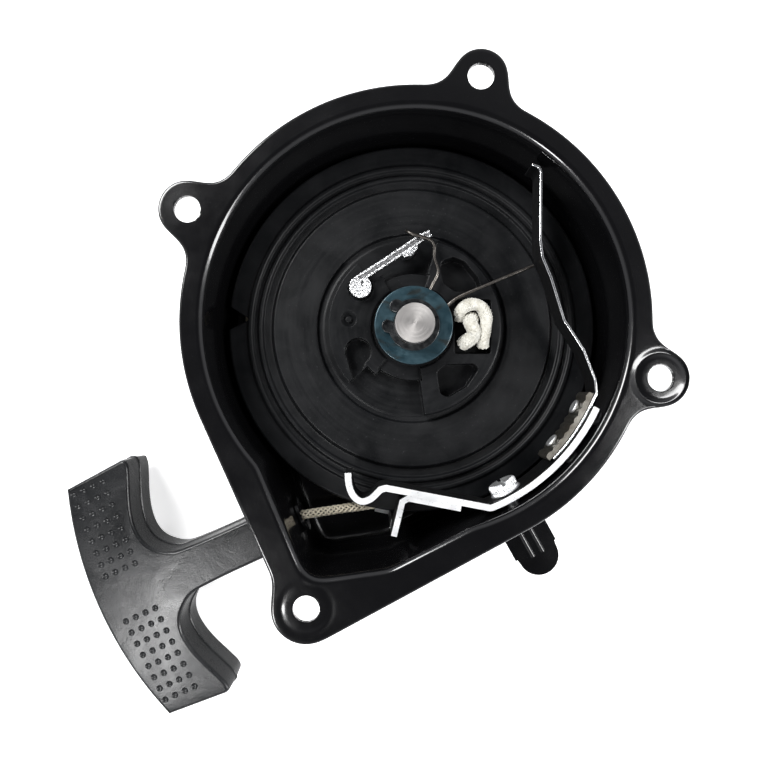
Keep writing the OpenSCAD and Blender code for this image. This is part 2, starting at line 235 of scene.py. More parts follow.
def make_mesh(name, verts, faces):
    """An object from points in millimetres."""
    mesh = bpy.data.meshes.new(name)
    mesh.from_pydata([tuple(c * MM for c in v) for v in verts], [], [tuple(f) for f in faces])
    bm = bmesh.new()
    bm.from_mesh(mesh)
    bmesh.ops.recalc_face_normals(bm, faces=bm.faces)
    bm.to_mesh(mesh)
    bm.free()
    obj = bpy.data.objects.new(name, mesh)
    scene.collection.objects.link(obj)
    return obj


def grid_faces(rows, cols, wrap_rows=False):
    """Quads of a grid of points whose columns close on themselves."""
    last = rows if wrap_rows else rows - 1
    faces = []
    for r in range(last):
        for c in range(cols):
            d = (c + 1) % cols
            n = (r + 1) % rows
            faces.append((r * cols + c, r * cols + d, n * cols + d, n * cols + c))
    return faces


def rings_mesh(name, rings, wrap=False, caps=True):
    """A skin over rings that all have as many points."""
    cols = len(rings[0])
    faces = grid_faces(len(rings), cols, wrap)
    if caps and not wrap:
        faces.append(tuple(range(cols))[::-1])
        faces.append(tuple((len(rings) - 1) * cols + c for c in range(cols)))
    return make_mesh(name, [p for ring in rings for p in ring], faces)


def prism(name, outline, z0, z1):
    return rings_mesh(name, [[[x, y, z] for x, y in outline] for z in (z0, z1)])


def lathe(name, profile, segments=192, closed=True):
    """A body turned round the Z axis. A profile that isn't closed ends in flat caps."""
    angles = np.linspace(0, 2 * math.pi, segments, endpoint=False)
    rings = [[[r * math.cos(a), r * math.sin(a), z] for a in angles] for r, z in profile]
    return rings_mesh(name, rings, wrap=closed)


def tube_rings(path, radius, sides):
    """Rings of points round a path, turned as little as possible from one to the next."""
    p = np.array(path, float)
    tangent = np.gradient(p, axis=0)
    tangent /= np.linalg.norm(tangent, axis=1)[:, None]
    up = np.array([0, 0, 1.0])
    if abs(tangent[0] @ up) > 0.9:
        up = np.array([1.0, 0, 0])
    side = np.cross(tangent[0], up)
    turn = np.linspace(0, 2 * math.pi, sides, endpoint=False)
    rings = []
    radii = np.broadcast_to(radius, len(p))
    for i in range(len(p)):
        side = side - tangent[i] * (side @ tangent[i])
        side /= np.linalg.norm(side)
        other = np.cross(tangent[i], side)
        rings.append([p[i] + radii[i] * (math.cos(t) * side + math.sin(t) * other) for t in turn])
    return rings


def tube(name, path, radius, sides=14):
    return rings_mesh(name, tube_rings(path, radius, sides))


def join(name, objects):
    """One object out of several; it takes the first one's place."""
    verts, faces = [], []
    for o in objects:
        base = len(verts)
        verts += [o.matrix_world @ v.co for v in o.data.vertices]
        faces += [[base + i for i in f.vertices] for f in o.data.polygons]
        bpy.data.objects.remove(o)
    return make_mesh(name, [v / MM for v in verts], faces)


def place(obj, matrix):
    """Moves the mesh itself, so the object stays at the origin. The matrix is in millimetres."""
    scaled = matrix.copy()
    scaled.translation = scaled.translation * MM
    obj.data.transform(scaled)
    obj.data.update()
    return obj


def apply_modifiers(obj):
    graph = bpy.context.evaluated_depsgraph_get()
    mesh = bpy.data.meshes.new_from_object(obj.evaluated_get(graph))
    obj.modifiers.clear()
    obj.data = mesh
    return obj


def cut(obj, cutters, solver="EXACT"):
    """Cuts other meshes out of obj and removes them."""
    for c in cutters:
        modifier = obj.modifiers.new("cut", "BOOLEAN")
        modifier.operation = "DIFFERENCE"
        modifier.solver = solver
        modifier.object = c
        apply_modifiers(obj)
        bpy.data.objects.remove(c)
    return obj


def bevel(obj, width, segments=2, angle=35):
    modifier = obj.modifiers.new("bevel", "BEVEL")
    modifier.width = width * MM
    modifier.segments = segments
    modifier.limit_method = "ANGLE"
    modifier.angle_limit = math.radians(angle)
    modifier.miter_outer = "MITER_ARC"
    return apply_modifiers(obj)


def smooth(obj, angle=40, weighted=True):
    obj.data.shade_smooth()
    obj.data.set_sharp_from_angle(angle=math.radians(angle))
    if weighted:
        modifier = obj.modifiers.new("normals", "WEIGHTED_NORMAL")
        modifier.keep_sharp = True
        apply_modifiers(obj)
    return obj


def dress(obj, material, body, slot, *nodes):
    """Gives a piece its finish, the body it rides on and the CAD nodes it stands for."""
    obj.data.materials.clear()
    obj.data.materials.append(material)
    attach(obj, body)
    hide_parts(*nodes)


def cad_copy(name, node, width, material, slot, angle=30, segments=2, body="root"):
    """A copy of a CAD node with its edges rounded, dressed to stand for that node."""
    mesh = NODES[node].data.copy()
    bm = bmesh.new()
    bm.from_mesh(mesh)
    bmesh.ops.remove_doubles(bm, verts=bm.verts, dist=SAME_PLACE)
    bmesh.ops.dissolve_limit(bm, angle_limit=math.radians(0.5), verts=bm.verts, edges=bm.edges)
    bm.to_mesh(mesh)
    bm.free()
    obj = bpy.data.objects.new(name, mesh)
    scene.collection.objects.link(obj)
    bevel(obj, width, segments, angle)
    dress(smooth(obj), material, body, slot, node)
    return obj


def darken_upright_faces(obj, material, upright=0.3):
    """Gives upright faces a second, darker material: dark zinc as painted shade on the sides of the
    strap, its foot and the leaf; on the handle, a copy of the PVC with less gloss.
    """
    obj.data.materials.append(material)
    for face in obj.data.polygons:
        face.material_index = int(abs(face.normal.z) < upright)


# ---- Materials ----

class Finish:
    """A procedural material under construction, on the object's own coordinates in metres."""

    def __init__(self, name, colour, roughness, metallic=0, **constants):
        self.material = bpy.data.materials.new(name)
        self.material.use_nodes = True
        self.tree = self.material.node_tree
        self.shader = self.tree.nodes["Principled BSDF"]
        self.coords = self.add("ShaderNodeTexCoord").outputs["Object"]
        self.set("Base Color", (*colour, 1))
        self.set("Roughness", roughness)
        self.set("Metallic", metallic)
        for socket, value in constants.items():
            self.set(socket.replace("_", " "), value)
        self.height = None

    def add(self, kind, **settings):
        node = self.tree.nodes.new(kind)
        for key, value in settings.items():
            setattr(node, key, value)
        return node

    def link(self, output, socket):
        self.tree.links.new(output, socket)

    def feed(self, socket, value):
        """Links an output to a socket, or sets the socket to a constant."""
        if isinstance(value, bpy.types.NodeSocket):
            self.link(value, socket)
        else:
            socket.default_value = value

    def set(self, name, value):
        self.feed(self.shader.inputs[name], value)

    def stretched(self, scale, rotation=(0, 0, 0)):
        node = self.add("ShaderNodeMapping")
        node.inputs["Scale"].default_value = scale
        node.inputs["Rotation"].default_value = [math.radians(a) for a in rotation]
        self.link(self.coords, node.inputs["Vector"])
        return node.outputs["Vector"]

    def polar(self, ring_scale, turn_scale):
        """Coordinates round the Z axis: radius, angle and height."""
        split = self.add("ShaderNodeSeparateXYZ")
        self.link(self.coords, split.inputs[0])
        flat = self.add("ShaderNodeCombineXYZ")
        self.link(split.outputs["X"], flat.inputs["X"])
        self.link(split.outputs["Y"], flat.inputs["Y"])
        length = self.add("ShaderNodeVectorMath", operation="LENGTH")
        self.link(flat.outputs[0], length.inputs[0])
        turn = self.math("ARCTAN2", split.outputs["Y"], split.outputs["X"])
        result = self.add("ShaderNodeCombineXYZ")
        self.link(self.math("MULTIPLY", length.outputs["Value"], ring_scale), result.inputs["X"])
        self.link(self.math("MULTIPLY", turn, turn_scale), result.inputs["Y"])
        return result.outputs[0]

    def noise(self, scale, detail=3, roughness=0.5, coords=None, distortion=0):
        node = self.add("ShaderNodeTexNoise")
        node.inputs["Scale"].default_value = scale
        node.inputs["Detail"].default_value = detail
        node.inputs["Roughness"].default_value = roughness
        node.inputs["Distortion"].default_value = distortion
        self.link(coords or self.coords, node.inputs["Vector"])
        return node.outputs["Fac"]

    def span(self, value, low, high, to_low, to_high):
        """Maps a range of one value to another, clamped."""
        node = self.add("ShaderNodeMapRange")
        limits = {"From Min": low, "From Max": high, "To Min": to_low, "To Max": to_high}
        for socket, number in limits.items():
            node.inputs[socket].default_value = number
        self.link(value, node.inputs["Value"])
        return node.outputs["Result"]

    def math(self, operation, a, b):
        node = self.add("ShaderNodeMath", operation=operation)
        for socket, value in zip(node.inputs, (a, b)):
            self.feed(socket, value)
        return node.outputs[0]

    def vary(self, noise, low, high):
        """Spreads the usual range of a noise from low to high."""
        return self.span(noise, 0.3, 0.7, low, high)

    def mix(self, factor, a, b):
        """A mix of two colours. The Mix node has an A and a B for each data type."""
        node = self.add("ShaderNodeMix", data_type="RGBA")
        self.link(factor, node.inputs[0])
        for name, value in (("A", a), ("B", b)):
            socket = next(s for s in node.inputs if s.name == name and s.type == "RGBA")
            self.feed(socket, value if isinstance(value, bpy.types.NodeSocket) else (*value, 1))
        return next(s for s in node.outputs if s.type == "RGBA")

    def blend(self, value, low, high, a, b, most=1):
        """Goes from one colour towards another as a value rises from low to high."""
        return self.mix(self.span(value, low, high, 0, most), a, b)

    def rough(self, broad, low, high, fine, swing):
        """Roughness from low to high after one noise, give or take a swing after another."""
        self.set("Roughness", self.math("ADD", self.vary(broad, low, high),
                                        self.vary(fine, -swing, swing)))

    def soften_edges(self, radius):
        """Rounds what is left of sharp edges in the shading, under the bump."""
        node = self.add("ShaderNodeBevel", samples=6)
        node.inputs["Radius"].default_value = radius
        self.height = node.outputs["Normal"]
        self.set("Normal", self.height)

    def emboss(self, height, distance, strength=1.0):
        """Adds bump: distance is the height of full white, in metres."""
        node = self.add("ShaderNodeBump")
        node.inputs["Strength"].default_value = strength
        node.inputs["Distance"].default_value = distance
        self.link(height, node.inputs["Height"])
        if self.height is not None:
            self.link(self.height, node.inputs["Normal"])
        self.height = node.outputs["Normal"]
        self.set("Normal", self.height)


def gloss_paint():
    """Black stoved enamel on pressed steel: a wet gloss with orange peel and a little dust."""
    f = Finish("black_enamel", (0.006, 0.006, 0.007), 0.14,
               Coat_Weight=0.35, Coat_Roughness=0.05, Specular_IOR_Level=0.4)
    dust = f.noise(2600, 4, 0.7)
    film = f.noise(60, 4, 0.6)
    specks = f.span(dust, 0.68, 0.76, 0, 1)
    f.set("Base Color", f.mix(specks, (0.003, 0.003, 0.0034), (0.02, 0.02, 0.021)))
    f.set("Roughness", f.math("ADD", f.vary(film, 0.11, 0.22), f.span(dust, 0.6, 0.76, 0, 0.16)))
    f.emboss(f.noise(420, 2, 0.4), 0.000016)
    f.emboss(f.noise(95, 2, 0.4), 0.00003)
    return f.material


def satin_nylon():
    """Glass-filled nylon: satin dark grey, with faint rings of wear and paler rubbed patches."""
    f = Finish("black_nylon", (0.005, 0.005, 0.006), 0.4, Specular_IOR_Level=0.2)
    f.soften_edges(0.00055)
    rings = f.noise(1, 3, 0.55, f.polar(900, 1.2))
    cloud = f.noise(70, 5, 0.6, distortion=0.4)
    grain = f.noise(5200, 2, 0.6)
    dust = f.span(f.noise(1500, 3, 0.7), 0.66, 0.74, 0, 1)
    base = f.blend(cloud, 0.35, 0.7, (0.0022, 0.0025, 0.003), (0.006, 0.0063, 0.007))
    f.set("Base Color", f.mix(dust, base, (0.035, 0.035, 0.037)))
    f.rough(cloud, 0.34, 0.46, rings, 0.05)
    f.emboss(rings, 0.000012)
    f.emboss(grain, 0.00001)
    return f.material


def zinc_plate(name, pale, dull, low, high):
    """Zinc plate on bent strip: drawing lines, small pits and a faint bloom."""
    f = Finish(name, pale, low, 1)
    bloom = f.noise(160, 4, 0.6)
    lines = f.noise(1, 3, 0.6, f.stretched((700, 700, 7000)))
    pits = f.noise(1900, 3, 0.6)
    tint = f.blend(bloom, 0.3, 0.7, pale, dull)
    f.set("Base Color", f.blend(pits, 0.62, 0.72, tint, tuple(0.55 * c for c in dull)))
    f.set("Roughness", f.vary(bloom, low, high))
    f.emboss(lines, 0.00002)
    f.emboss(pits, 0.00003)
    return f.material


def sheared_zinc(name, furrow, ridge, low, high):
    """Zinc plate over a torn, sheared edge: bright ridges with dark furrows between them."""
    f = Finish(name, ridge, low, 1)
    tears = f.noise(1, 5, 0.7, f.stretched((900, 2600, 900), (0, 0, 37)), 0.6)
    pits = f.noise(1500, 4, 0.65)
    f.set("Base Color", f.blend(tears, 0.38, 0.56, furrow, ridge))
    f.set("Roughness", f.vary(pits, low, high))
    f.emboss(tears, 0.00022)
    f.emboss(pits, 0.00008)
    return f.material


def turned_steel():
    """Turned steel with fine rings round the axis."""
    f = Finish("turned_steel", (0.74, 0.72, 0.71), 0.28, 1, Anisotropic=0.35)
    rings = f.noise(1, 2, 0.6, f.polar(7500, 0.5))
    stain = f.noise(260, 4, 0.6)
    f.set("Base Color", f.blend(stain, 0.3, 0.7, (0.74, 0.71, 0.69), (0.62, 0.60, 0.58)))
    f.set("Roughness", f.vary(rings, 0.34, 0.44))
    f.emboss(rings, 0.0000015)
    return f.material


def blue_zinc():
    """Blue passivated washer under a film of grease."""
    f = Finish("blue_zinc", (0.05, 0.12, 0.15), 0.34, 0.55, Coat_Weight=0.35, Coat_Roughness=0.2)
    cloud = f.noise(150, 5, 0.62, distortion=0.8)
    grease = f.noise(90, 4, 0.6, f.stretched((1, 1.4, 1), (0, 0, 35)), 1.0)
    sweep = f.noise(1, 3, 0.6, f.polar(1500, 1.5))
    tint = f.blend(cloud, 0.35, 0.68, (0.012, 0.034, 0.046), (0.027, 0.06, 0.076))
    tint = f.blend(grease, 0.50, 0.62, tint, (0.014, 0.016, 0.014), 0.8)
    f.set("Base Color", tint)
    f.rough(cloud, 0.30, 0.48, sweep, 0.06)
    f.emboss(sweep, 0.00001)
    f.emboss(cloud, 0.00006)
    return f.material


def black_oxide():
    """Blackened clip, wet with grease."""
    f = Finish("black_oxide", (0.02, 0.022, 0.024), 0.35, 0.6, Coat_Weight=0.6, Coat_Roughness=0.12)
    cloud = f.noise(500, 4, 0.6)
    f.set("Base Color", f.blend(cloud, 0.35, 0.7, (0.006, 0.007, 0.008), (0.024, 0.026, 0.028)))
    f.set("Roughness", f.vary(cloud, 0.24, 0.5))
    f.emboss(cloud, 0.00008)
    return f.material


def spring_wire():
    """Oil-hardened spring steel: grey brown, drawn along its length."""
    f = Finish("spring_wire", (0.22, 0.21, 0.20), 0.34, 1)
    streak = f.noise(900, 4, 0.6)
    spots = f.span(f.noise(1700, 3, 0.6), 0.58, 0.7, 0, 1)
    tint = f.blend(streak, 0.35, 0.7, (0.13, 0.12, 0.11), (0.05, 0.046, 0.042))
    f.set("Base Color", f.mix(spots, tint, (0.035, 0.026, 0.02)))
    f.set("Roughness", f.vary(streak, 0.26, 0.46))
    f.emboss(streak, 0.00002)
    return f.material


def blued_steel():
    """Hardened strip for the recoil spring and its cover."""
    f = Finish("blued_steel", (0.20, 0.22, 0.26), 0.32, 1)
    streak = f.noise(300, 4, 0.6)
    f.set("Base Color", f.blend(streak, 0.3, 0.7, (0.16, 0.18, 0.22), (0.30, 0.30, 0.31)))
    f.set("Roughness", f.vary(streak, 0.25, 0.45))
    f.emboss(streak, 0.00003)
    return f.material


def bronze():
    """Sintered bronze bush, porous and oiled."""
    f = Finish("sintered_bronze", (0.42, 0.27, 0.13), 0.45, 0.9)
    pores = f.noise(3000, 3, 0.6)
    f.set("Base Color", f.blend(pores, 0.4, 0.7, (0.46, 0.30, 0.15), (0.25, 0.16, 0.08)))
    f.set("Roughness", f.vary(pores, 0.35, 0.6))
    f.emboss(pores, 0.00003)
    return f.material


def rope_fibre(name, pale, dark):
    """Braided polyester strand: matt fibres with a soft sheen and darker patches of grime. In near
    black it makes the rope's core, painted shade for the gaps between strands.
    """
    f = Finish(name, pale, 0.82, Sheen_Weight=0.35, Sheen_Roughness=0.5)
    fibres = f.noise(5200, 3, 0.6)
    grime = f.noise(420, 4, 0.65)
    tint = f.blend(grime, 0.42, 0.72, pale, dark)
    f.set("Base Color", f.blend(fibres, 0.5, 0.75, tint, tuple(c * 0.72 for c in dark), 0.5))
    f.set("Roughness", f.vary(fibres, 0.7, 0.92))
    f.emboss(fibres, 0.00008)
    return f.material


def rope_braid():
    """The same rope as a plain tube, with the braid drawn from the turn and length in its UV map, and
    painted shade between the drawn strands.
    """
    f = Finish("rope_braid", (0.66, 0.60, 0.47), 0.82, Sheen_Weight=0.35, Sheen_Roughness=0.5)
    uv = f.add("ShaderNodeTexCoord").outputs["UV"]
    split = f.add("ShaderNodeSeparateXYZ")
    f.link(uv, split.inputs[0])
    strands, pitch = 8, 0.012
    turns = f.math("MULTIPLY", split.outputs["X"], strands)
    rows = f.math("MULTIPLY", split.outputs["Y"], strands / pitch)
    one = f.math("PINGPONG", f.math("ADD", turns, rows), 0.5)
    two = f.math("PINGPONG", f.math("SUBTRACT", turns, rows), 0.5)
    strand = f.math("MULTIPLY", f.math("MULTIPLY", one, two), 4)
    fibres = f.noise(5200, 3, 0.6)
    # Dark brown between the drawn strands: painted shade in the braid's gaps.
    tint = f.blend(strand, 0.05, 0.5, (0.22, 0.19, 0.13), (0.70, 0.64, 0.51))
    f.set("Base Color", f.blend(fibres, 0.5, 0.75, tint, (0.40, 0.35, 0.26), 0.5))
    f.emboss(strand, 0.0004)
    f.emboss(fibres, 0.00008)
    return f.material


def handle_pvc(name, gloss):
    """Moulded soft PVC: charcoal, rubbed to a mottled shine."""
    f = Finish(name, (0.012, 0.013, 0.014), 0.4, Specular_IOR_Level=gloss)
    cloud = f.noise(55, 5, 0.6, distortion=0.6)
    grain = f.noise(1900, 3, 0.6)
    scuff = f.span(f.noise(1, 4, 0.65, f.stretched((160, 900, 160), (0, 0, 25))), 0.62, 0.75, 0, 1)
    tint = f.blend(cloud, 0.32, 0.7, (0.007, 0.0075, 0.008), (0.014, 0.0145, 0.0155))
    f.set("Base Color", f.mix(scuff, tint, (0.03, 0.03, 0.031)))
    f.rough(cloud, 0.19, 0.33, grain, 0.04)
    f.emboss(cloud, 0.00025)
    f.emboss(grain, 0.00003)
    return f.material


def studio_floor():
    f = Finish("studio_floor", (0.92, 0.92, 0.92), 0.9)
    f.set("Roughness", f.vary(f.noise(8, 3), 0.85, 0.95))
    f.set("Emission Color", (1, 1, 1, 1))
    f.set("Emission Strength", 0.62)
    return f.material


PAINT = gloss_paint()
NYLON = satin_nylon()
# Very dark sheared zinc for the pawl's core: partly the torn surface, partly painted shade in the
# groove along the bar.
TORN_AND_SHADED = sheared_zinc("torn_edge_painted_shade", (0.02, 0.02, 0.02), (0.20, 0.20, 0.205), 0.3, 0.5)
# Dark zinc for the upright sides of the strap, its foot and the leaf: painted shade on plated steel.
ZINC_SIDE_SHADE = zinc_plate("zinc_side_painted_shade", (0.060, 0.060, 0.062), (0.026, 0.026, 0.027), 0.4, 0.55)
ZINC = zinc_plate("bright_zinc", (0.95, 0.96, 0.97), (0.86, 0.87, 0.87), 0.38, 0.55)
DULL_ZINC = zinc_plate("dull_zinc", (0.26, 0.25, 0.225), (0.12, 0.108, 0.09), 0.34, 0.52)
STEEL = turned_steel()
SHEARED = sheared_zinc("sheared_zinc", (0.16, 0.16, 0.16), (0.80, 0.81, 0.82), 0.16, 0.36)
BRIGHT = zinc_plate("bright_strip", (0.93, 0.94, 0.95), (0.84, 0.85, 0.86), 0.16, 0.28)
BLUE = blue_zinc()
OXIDE = black_oxide()
WIRE = spring_wire()
BLUED = blued_steel()
BRONZE = bronze()
ROPE = rope_fibre("rope_strand", (0.66, 0.60, 0.47), (0.40, 0.35, 0.26))
# Near black rope for the core under the open braid: painted shade in the gaps between strands.
ROPE_CORE_SHADE = rope_fibre("rope_core_painted_shade", (0.05, 0.045, 0.035), (0.02, 0.018, 0.014))
KNOT = rope_fibre("rope_knot_strand", (0.56, 0.55, 0.50), (0.34, 0.32, 0.26))
BRAID = rope_braid()
PVC = handle_pvc("charcoal_pvc", 0.3)
PVC_SIDE = handle_pvc("charcoal_pvc_side", 0.04)


# ---- Housing ----

COLUMNS = 900
SHEET = 1.6
CORNER = 4.4
BEND = 2.2
EDGE = 0.7
BURR = 0.35
QUARTER_BEND = np.radians(range(15, 91, 15))
EAR_HOLES = [(19.5, 73.5), (-68.7, 33.6), (73.5, -17.1), (-33, -86.4)]
PRESSED_EARS = ((EAR_HOLES[2], 0.45), (EAR_HOLES[3], 0.12))


def pressed(points):
    """Depth of the shallow rings pressed round two of the ear holes."""
    depth = np.zeros(len(points))
    for centre, deep in PRESSED_EARS:
        distance = np.linalg.norm(points - np.array(centre), axis=1)
        depth += deep * np.exp(-((distance - 7.6) / 0.9) ** 2)
    return depth


def make_housing():
    angles = np.linspace(0, 2 * math.pi, COLUMNS, endpoint=False)
    ray = np.stack([np.cos(angles), np.sin(angles)], 1)
    loops = plane_loops("housing", 0)
    outer = ray * soften_ring(radius_by_angle(loops[0], angles), 2)[:, None]
    inner = ray * soften_ring(radius_by_angle(loops[1], angles), 3)[:, None]
    n_in, n_out = normals_of(inner), normals_of(outer)
    rings = []

    def ring(points, z):
        heights = np.broadcast_to(z, len(points))
        rings.append([[x, y, h] for (x, y), h in zip(points, heights)])

    def sweep(a, b, z, count):
        for t in np.linspace(0, 1, count + 1)[1:]:
            ring(a + (b - a) * t, z)

    plate_in, plate_out = -40.2, -41.8
    recess_in, recess_out = 18.6, 17.2
    for r, z in ((4.9, plate_in), (11, plate_in), (16.6, plate_in), (17.2, -40.4), (17.6, -41),
                 (17.8, -42), (recess_in, FLOOR_Z)):
        ring(ray * r, z)
    sweep(ray * recess_in, inner - CORNER * n_in, FLOOR_Z, 6)
    for a in QUARTER_BEND:
        ring(inner - CORNER * (1 - math.sin(a)) * n_in, FLOOR_Z + CORNER * (1 - math.cos(a)))
    for z in (-34, -28, -22, -16, -10, -5, -BEND):
        ring(inner, z)
    for a in QUARTER_BEND:
        ring(inner + BEND * (1 - math.cos(a)) * n_in, BEND * (math.sin(a) - 1))
    a, b = inner + BEND * n_in, outer - EDGE * n_out
    for t in np.linspace(0, 1, 27)[1:]:
        points = a + (b - a) * t
        ring(points, -pressed(points))
    for t in np.radians((30, 60, 90)):
        ring(outer - EDGE * (1 - math.sin(t)) * n_out, EDGE * (math.cos(t) - 1))
    ring(outer, -1.2)
    ring(outer - BURR * n_out, -SHEET)
    wall = inner + SHEET * n_in
    a, b = outer - BURR * n_out, wall + 0.8 * n_in
    for t in np.linspace(0, 1, 9)[1:]:
        points = a + (b - a) * t
        ring(points, -SHEET - pressed(points) * 0.9)
    ring(wall + 0.2 * n_in, -SHEET - 0.25)
    for z in (-2.4, -8, -14, -20, -26, -32, BACK_Z + CORNER + SHEET):
        ring(wall, z)
    big = CORNER + SHEET
    for t in QUARTER_BEND:
        ring(wall - big * (1 - math.cos(t)) * n_in, BACK_Z + big * (1 - math.sin(t)))
    sweep(wall - big * n_in, ray * recess_out, BACK_Z, 6)
    for r, z in ((16.5, -43.8), (16, -43.2), (15.9, -42.4), (15.2, plate_out), (10, plate_out),
                 (4.9, plate_out)):
        ring(ray * r, z)
    housing = rings_mesh("housing_shell", rings, wrap=True)
    drills = [prism("drill", circle(spot, 4), -6, 3) for spot in EAR_HOLES]
    eyelet = prism("drill", circle((0, 0), 4.4), -4, 6)
    way_out = Matrix.Translation(ROPE_EXIT) @ Matrix.Rotation(PULL, 4, "Z") @ ONTO_X
    drills.append(place(eyelet, way_out))
    screw = prism("drill", circle((0, 0), 2.1, 10), 62, 68)
    drills.append(place(screw, radial_frame(SCREW_ANGLE, SCREW_Z)))
    cut(housing, [join("drills", drills)])
    bevel(housing, 0.3, 2, 50)
    smooth(housing, 45)
    dress(housing, PAINT, "root", "black_paint", "housing")


def radial_frame(angle, z):
    """Stands a piece built along Z on a radius, at a height."""
    turn = Matrix.Rotation(math.radians(angle), 4, "Z")
    return turn @ Matrix.Translation((0, 0, z)) @ ONTO_X


def make_lug():
    cad_copy("cable_lug", "side_lug", 0.35, PAINT, "black_paint")


# ---- Reel ----

def sector(start, end, inner, outer):
    return arc((0, 0), outer, start, end, 3) + arc((0, 0), inner, end, start, 3)


def mirrored(outline, axis=176):
    """An outline mirrored about the hub's mirror line."""
    a = math.radians(2 * axis)
    c, s = math.cos(a), math.sin(a)
    return [[x * c + y * s, x * s - y * c] for x, y in outline]


def reel_profile():
    corners = [(8.2, -39.2), (17.5, -39.2), (17.5, -35), (20, -35), (20, -25), (46.5, -25),
               (46.5, -35), (60.4, -35), (61, -34.5), (60.6, -33.4), (51.5, -33.2), (50.5, -32.2),
               (50.5, -27.4), (51.5, -26.4), (61, -26), (61.7, -25.4), (61.7, -24.5), (61.2, -24),
               (55.6, -24), (54.8, -23.2), (53.8, -23.2), (53.1, -24), (51.9, -24), (51.2, -22.3),
               (50.2, -22.3), (49.5, -23.3), (47, -23.3), (46, -21), (31.6, -21), (31, -22.2),
               (29.2, -22.2), (29.2, -16.5), (28.5, HUB_Z), (13.6, HUB_Z), (13.2, -17.2), (8.2, -17.2)]
    return rounded(corners, 0.55, 4)


UPPER_WINDOW = [(9.5, 21.5), (13.2, 22.8), (17, 21.2), (21.3, 15.8), (22.1, 13), (19.7, 11.6),
                (13.7, 11.4), (9.9, 14.2), (8.9, 19)]
LOWER_WINDOW = [(7.8, -14.6), (11, -12.2), (19.7, -11.9), (21.6, -13.5), (17.6, -19.5), (11.6, -23),
                (8.9, -21.9)]


def make_reel():
    reel = lathe("reel_moulding", reel_profile(), 288)
    reach = 30.5
    pocket = rounded(sector(74, 120, 17.3, reach), 1.4, 4)
    ledge = sector(72, 122, 12.6, 17.9)
    cutters = []
    for outline in (pocket, mirrored(pocket)):
        cutters.append(prism("cutter", outline, POCKET_Z, -10))
    for outline in (sector(119, 131, 19.5, reach), mirrored(sector(119, 131, 19.5, reach)),
                    sector(130, 222, 27.4, reach)):
        cutters.append(prism("cutter", outline, POCKET_Z, -10.1))
    for outline in (ledge, mirrored(ledge)):
        cutters.append(prism("cutter", outline, HUB_Z - 1.1, -10.2))
    for outline in (rounded(UPPER_WINDOW, 2), rounded(LOWER_WINDOW, 2)):
        cutters.append(prism("cutter", outline, POCKET_Z, -10.3))
    knot = rounded([(13.6, -8.8), (25.4, -8.8), (25.4, 8.9), (13.6, 8.9)], 1)
    cutters.append(prism("cutter", knot, POCKET_Z, -10.4))
    middle, half = 176.5, 4.4
    notch = [at(54.5, middle), at(63.2, middle - half), at(63.2, middle + half)]
    cutters.append(prism("cutter", rounded(notch, 0.8), -27, -20))
    cutters.append(prism("cutter", circle(PIVOT, 3.65), -24.5, -10.5))
    cutters.append(prism("cutter", circle(PIVOT, 4.2), HUB_Z - 1.2, -10.6))
    x, y = TWIN
    keyhole = arc(TWIN, 4.3, -52, 210)
    keyhole += [[x - 2.2, y - 8], [x - 0.9, y - 13.3], [x + 0.3, y - 13.4], [x + 0.4, y - 8.5]]
    cutters.append(prism("cutter", rounded(keyhole, 0.5, 3), -20.5, -10.7))
    dish = [(0.9, -17.2), (1.6, -16.9), (2.5, -16.1), (2.9, -10.8), (0.9, -10.8)]
    dish = lathe("cutter", dish, 40)
    cutters.append(place(dish, Matrix.Translation((-20.8, 2.5, 0))))
    cut(reel, cutters)
    bevel(reel, 0.28, 2, 38)
    smooth(reel, 40)
    dress(reel, NYLON, "reel", "black_nylon", "reel")


# ---- Shaft and what sits on it ----

def make_shaft():
    top, tail = -4.5, -42.6
    profile = [(4.9, tail), (4.9, -40.2), (10, -40.2), (10, -39.6), (6.3, -39.5), (6.2, -39),
               (6.2, -10.75), (5, -10.7), (5, -9.7), (6.2, -9.65), (6.2, top - 0.08), (6.14, top),
               (0.6, top), (0.45, top - 0.04), (0.05, top - 0.05)]
    shaft = smooth(lathe("starter_shaft", profile, 96, closed=False), 35)
    dress(shaft, STEEL, "root", "turned_steel", "center_shaft")


def make_washer():
    profile = rounded([(6.3, -12), (12.5, -12), (12.5, -10.8), (6.3, -10.8)], 0.35, 4)
    washer = smooth(lathe("blue_washer", profile, 128), 35)
    dress(washer, BLUE, "root", "blue_zinc", "friction_washer")


def make_clip():
    cad_copy("retaining_clip", "e_clip", 0.28, OXIDE, "black_oxide", 40, 3)


# ---- Pawl and wire ----

